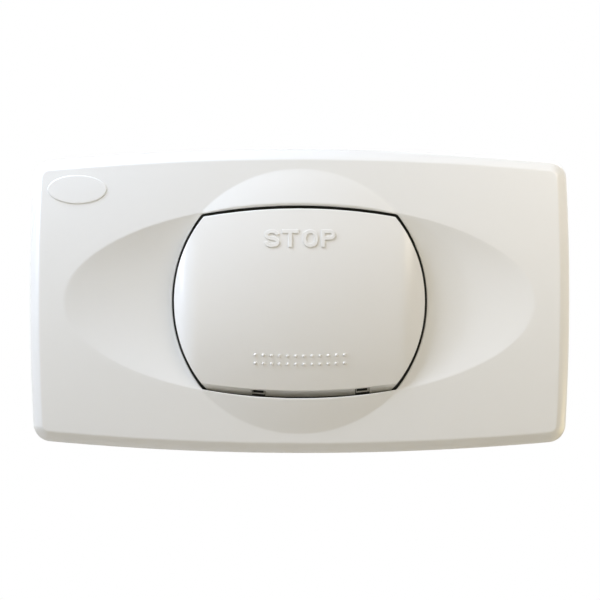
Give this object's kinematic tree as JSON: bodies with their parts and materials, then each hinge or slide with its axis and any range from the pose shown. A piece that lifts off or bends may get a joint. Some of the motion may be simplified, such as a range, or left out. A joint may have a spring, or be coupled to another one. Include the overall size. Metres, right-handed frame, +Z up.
{
  "type": "flush plate",
  "caption": "Wide white wall plate with an oval dish, a round bulge and a cushion-shaped rocker key that drives push rods, for flushing and stopping a concealed cistern.",
  "frame": {"origin": "midway between the two fixing studs, on the wall plane behind the frame", "axes": "+X right along the plate, +Z up, the front faces -Y and the studs and push rods point along +Y into the wall"},
  "size_m": [0.27, 0.0888, 0.152],
  "materials": {
    "cover_white": "glossy moulded ABS, alpine white",
    "key_white": "glossy moulded ABS, slightly warmer white",
    "frame_dark": "matt moulded plastic, near black",
    "guide_white": "self-lubricating plastic, satin",
    "steel": "plain bright steel",
    "brass": "turned brass",
    "rubber": "matt black rubber"
  },
  "bodies": {
    "wall_unit": {"cover_plate": "cover_white", "mounting_frame": "frame_dark", "guide_bridge": "frame_dark", "bridge_screws": "steel", "flush_bush": "guide_white", "stop_bush": "guide_white", "left_axle_bush": "guide_white", "right_axle_bush": "guide_white", "fixing_studs": "steel", "stud_washers": "steel", "stud_nuts": "steel", "stop_buffers": "rubber", "flush_spring": "steel", "stop_spring": "steel"},
    "key": {"rocker_key": "key_white", "key_carrier": "guide_white", "hinge_axle": "steel", "axle_clips": "steel", "pusher_pads": "rubber"},
    "flush_rod": {"flush_plunger": "guide_white", "flush_clip": "steel", "flush_spindle": "brass", "flush_lock_nut": "brass", "flush_tip": "rubber"},
    "stop_rod": {"stop_plunger": "guide_white", "stop_clip": "steel", "stop_spindle": "brass", "stop_lock_nut": "brass", "stop_tip": "rubber"}
  },
  "joints": [
    {"name": "rocker_hinge", "type": "hinge", "parent": "wall_unit", "child": "key", "pos_m": [0, -0.01, 0], "axis": [1, 0, 0], "range_deg": [-6, 8], "stiffness_Nm_per_rad": 2},
    {"name": "flush_slide", "type": "slide", "parent": "wall_unit", "child": "flush_rod", "axis": [0, 1, 0], "range_m": [-0.0027, 0.0036], "deforming": ["flush_spring"]},
    {"name": "stop_slide", "type": "slide", "parent": "wall_unit", "child": "stop_rod", "axis": [0, 1, 0], "range_m": [-0.0036, 0.0027], "deforming": ["stop_spring"]}
  ],
  "couplings": [
    {"joint": "flush_slide", "follows": "rocker_hinge", "m_per_rad": 0.025},
    {"joint": "stop_slide", "follows": "rocker_hinge", "m_per_rad": -0.025}
  ]
}
